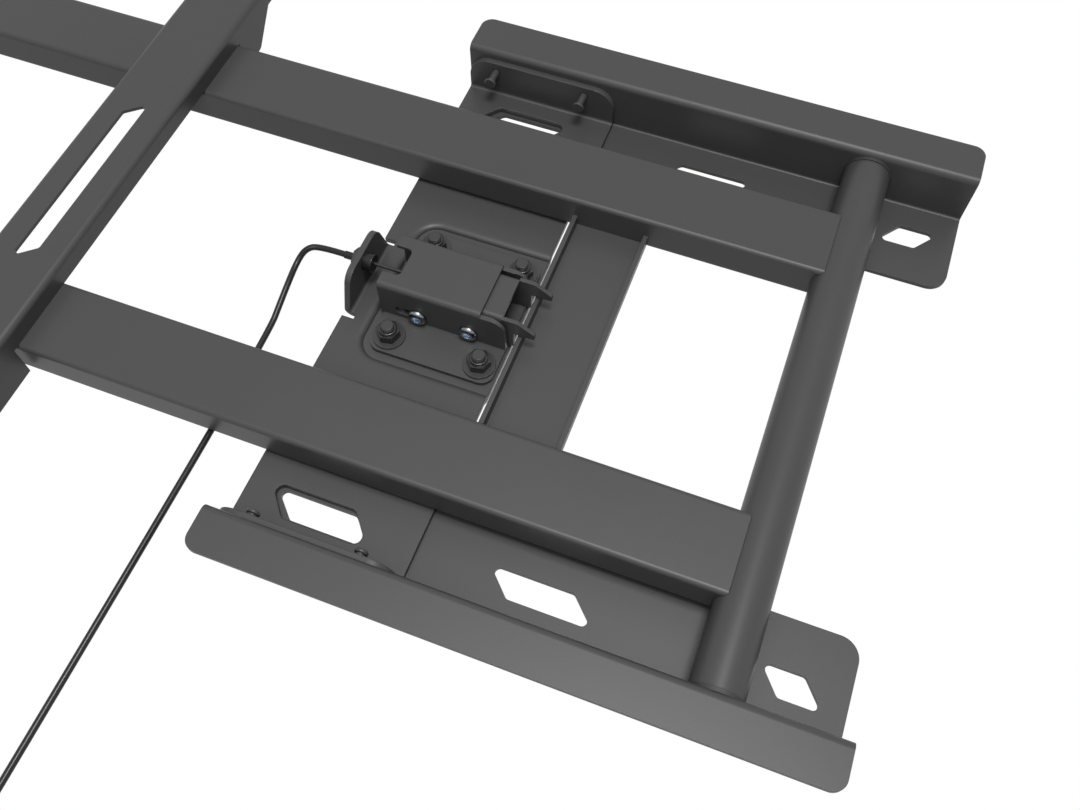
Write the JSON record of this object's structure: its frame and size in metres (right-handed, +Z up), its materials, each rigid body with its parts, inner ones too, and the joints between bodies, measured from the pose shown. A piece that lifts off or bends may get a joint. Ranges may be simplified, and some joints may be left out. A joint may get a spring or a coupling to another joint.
{
  "type": "swivel tv wall mount",
  "caption": "Black steel swivel wall mount for a flat screen: a hinged frame of two rectangular tubes with upright screen rails, and a spring latch released by a pull cable.",
  "frame": {"origin": "on the wall, behind the middle of the latch plate's pressed pocket, halfway between the two wall profiles", "axes": "+X along the tubes from the free end to the hinge column, +Z up, -Y out from the wall to the screen"},
  "size_m": [0.9797, 0.0474, 0.671],
  "materials": {
    "powder_coat": "satin black powder coat with a fine grain",
    "zinc": "bright zinc plate",
    "dark_fastener": "black passivated zinc",
    "steel_wire": "plain drawn wire",
    "hinge_polymer": "matt black plastic",
    "black_plastic": "matt black plastic",
    "sheath_plastic": "slightly glossy dark grey plastic"
  },
  "bodies": {
    "wall_side": {"wall_rail_top": "powder_coat", "wall_rail_bottom": "powder_coat", "latch_plate": "powder_coat", "tab_rivets": "powder_coat", "latch_base": "powder_coat", "latch_studs": "dark_fastener", "latch_washers": "dark_fastener", "latch_nuts": "dark_fastener", "latch_housing": "powder_coat", "housing_cross_screw": "zinc", "housing_cross_nut": "zinc", "latch_spring": "steel_wire", "cable_bush": "dark_fastener", "cable_bush_nut": "dark_fastener", "sheath_ferrule": "dark_fastener", "cable_sheath": "sheath_plastic", "sheath_end_ferrule": "dark_fastener", "pivot_bolts": "dark_fastener", "pivot_weld_nuts": "powder_coat", "hinge_washers": "hinge_polymer"},
    "swing_frame": {"frame_tube_top": "powder_coat", "frame_tube_bottom": "powder_coat", "strike_channel": "powder_coat", "hinge_column": "powder_coat", "hinge_plugs": "powder_coat", "tube_end_caps": "black_plastic"},
    "latch_slider": {"latch_bolt": "powder_coat", "slide_cross_screw": "zinc", "slide_cross_nut": "zinc", "release_wire": "steel_wire", "wire_nipple": "zinc"},
    "pull_handle": {"pull_wire": "steel_wire", "pull_ring": "black_plastic"},
    "right_rail": {"screen_rail_right": "powder_coat", "rail_lock_screw_right": "dark_fastener", "rail_lock_nut_right": "dark_fastener"},
    "left_rail": {"screen_rail_left": "powder_coat", "rail_lock_screw_left": "dark_fastener", "rail_lock_nut_left": "dark_fastener"}
  },
  "joints": [
    {"name": "swing", "type": "hinge", "parent": "wall_side", "child": "swing_frame", "pos_m": [0.219, -0.021, 0], "axis": [0, 0, 1], "range_deg": [0, 90]},
    {"name": "latch_draw", "type": "slide", "parent": "wall_side", "child": "latch_slider", "axis": [-1, 0, 0], "range_m": [0, 0.0118], "stiffness_N_per_m": 600, "springref_m": -0.005, "deforming": ["latch_spring"]},
    {"name": "handle_pull", "type": "slide", "parent": "wall_side", "child": "pull_handle", "axis": [0, 0, -1], "range_m": [0, 0.0118]},
    {"name": "right_rail_slide", "type": "slide", "parent": "swing_frame", "child": "right_rail", "axis": [1, 0, 0], "range_m": [-0.06, 0.1]},
    {"name": "left_rail_slide", "type": "slide", "parent": "swing_frame", "child": "left_rail", "axis": [1, 0, 0], "range_m": [-0.02, 0.1]}
  ],
  "couplings": [
    {"joint": "handle_pull", "follows": "latch_draw", "ratio": 1}
  ]
}
